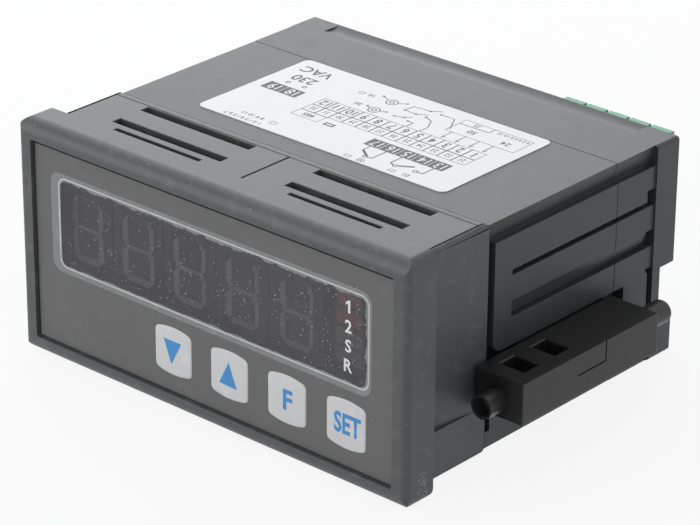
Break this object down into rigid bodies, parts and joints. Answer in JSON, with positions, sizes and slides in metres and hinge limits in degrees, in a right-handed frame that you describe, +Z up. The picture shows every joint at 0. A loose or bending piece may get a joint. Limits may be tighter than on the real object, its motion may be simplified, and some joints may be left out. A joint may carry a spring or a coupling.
{
  "type": "panel counter",
  "caption": "Digital panel counter in a slim plastic case with a dark display window, film keys, plug-in terminals at the back and sliding side brackets that clamp it in a panel.",
  "frame": {"origin": "centre of the panel cut-out, in the plane of the panel's front face, which is the back of the front frame", "axes": "+X to the right as seen from the front, +Y to the back through the panel, +Z up"},
  "size_m": [0.1138, 0.084, 0.048],
  "materials": {
    "case_plastic": "fine moulded texture, satin",
    "front_film": "printed film with a fine matt grain",
    "smoked_window": "smoked clear plastic",
    "label_film": "printed paper-like film",
    "circuit_board": "green solder mask",
    "display_epoxy": "dark face with unlit red bars",
    "black_plastic": "moulded, plain",
    "grey_plastic": "moulded, plain",
    "transformer_iron": "laminated core and wound bobbin",
    "capacitor_sleeve": "shrink sleeve",
    "terminal_green": "moulded, satin",
    "tinned_brass": "tinned, slightly dull",
    "bracket_plastic": "fine moulded texture, satin",
    "rod_plastic": "smooth moulded plastic"
  },
  "bodies": {
    "counter": {"front_frame": "case_plastic", "case": "case_plastic", "rear_cover": "case_plastic", "front_film": "front_film", "display_window": "smoked_window", "wiring_label": "label_film", "display_board": "circuit_board", "upper_board": "circuit_board", "lower_board": "circuit_board", "digit_1": "display_epoxy", "digit_2": "display_epoxy", "digit_3": "display_epoxy", "digit_4": "display_epoxy", "digit_5": "display_epoxy", "indicator_block": "display_epoxy", "key_switch_1": "black_plastic", "key_switch_2": "black_plastic", "key_switch_3": "black_plastic", "key_switch_4": "black_plastic", "upper_board_link": "black_plastic", "lower_board_link": "black_plastic", "controller_chip": "black_plastic", "relay_1": "black_plastic", "relay_2": "black_plastic", "transformer": "transformer_iron", "supply_capacitor": "capacitor_sleeve", "output_header": "terminal_green", "supply_header": "terminal_green", "input_header": "terminal_green", "output_pins": "tinned_brass", "supply_pins": "tinned_brass", "input_pins": "tinned_brass"},
    "key_1": {"key_plunger_1": "grey_plastic"},
    "key_2": {"key_plunger_2": "grey_plastic"},
    "key_3": {"key_plunger_3": "grey_plastic"},
    "key_4": {"key_plunger_4": "grey_plastic"},
    "output_plug": {"output_plug": "terminal_green", "output_clamps": "tinned_brass", "output_screws": "tinned_brass"},
    "supply_plug": {"supply_plug": "terminal_green", "supply_clamps": "tinned_brass", "supply_screws": "tinned_brass"},
    "input_plug": {"input_plug": "terminal_green", "input_clamps": "tinned_brass", "input_screws": "tinned_brass"},
    "bracket_right": {"bracket_right": "bracket_plastic"},
    "clamp_rod_right": {"clamp_rod_right": "rod_plastic"},
    "bracket_left": {"bracket_left": "bracket_plastic"},
    "clamp_rod_left": {"clamp_rod_left": "rod_plastic"}
  },
  "joints": [
    {"name": "key_1_press", "type": "slide", "parent": "counter", "child": "key_1", "axis": [0, 1, 0], "range_m": [0, 0.00025], "stiffness_N_per_m": 4000},
    {"name": "key_2_press", "type": "slide", "parent": "counter", "child": "key_2", "axis": [0, 1, 0], "range_m": [0, 0.00025], "stiffness_N_per_m": 4000},
    {"name": "key_3_press", "type": "slide", "parent": "counter", "child": "key_3", "axis": [0, 1, 0], "range_m": [0, 0.00025], "stiffness_N_per_m": 4000},
    {"name": "key_4_press", "type": "slide", "parent": "counter", "child": "key_4", "axis": [0, 1, 0], "range_m": [0, 0.00025], "stiffness_N_per_m": 4000},
    {"name": "bracket_right_slide", "type": "slide", "parent": "counter", "child": "bracket_right", "axis": [0, 1, 0], "range_m": [-0.008, 0.0058]},
    {"name": "clamp_rod_right_slide", "type": "slide", "parent": "bracket_right", "child": "clamp_rod_right", "axis": [0, 1, 0], "range_m": [-0.008, 0.006]},
    {"name": "bracket_left_slide", "type": "slide", "parent": "counter", "child": "bracket_left", "axis": [0, 1, 0], "range_m": [-0.008, 0.0058]},
    {"name": "clamp_rod_left_slide", "type": "slide", "parent": "bracket_left", "child": "clamp_rod_left", "axis": [0, 1, 0], "range_m": [-0.008, 0.006]},
    {"name": "output_plug_pull", "type": "slide", "parent": "counter", "child": "output_plug", "axis": [0, 1, 0], "range_m": [0, 0.012]},
    {"name": "supply_plug_pull", "type": "slide", "parent": "counter", "child": "supply_plug", "axis": [0, 1, 0], "range_m": [0, 0.012]},
    {"name": "input_plug_pull", "type": "slide", "parent": "counter", "child": "input_plug", "axis": [0, 1, 0], "range_m": [0, 0.012]}
  ]
}
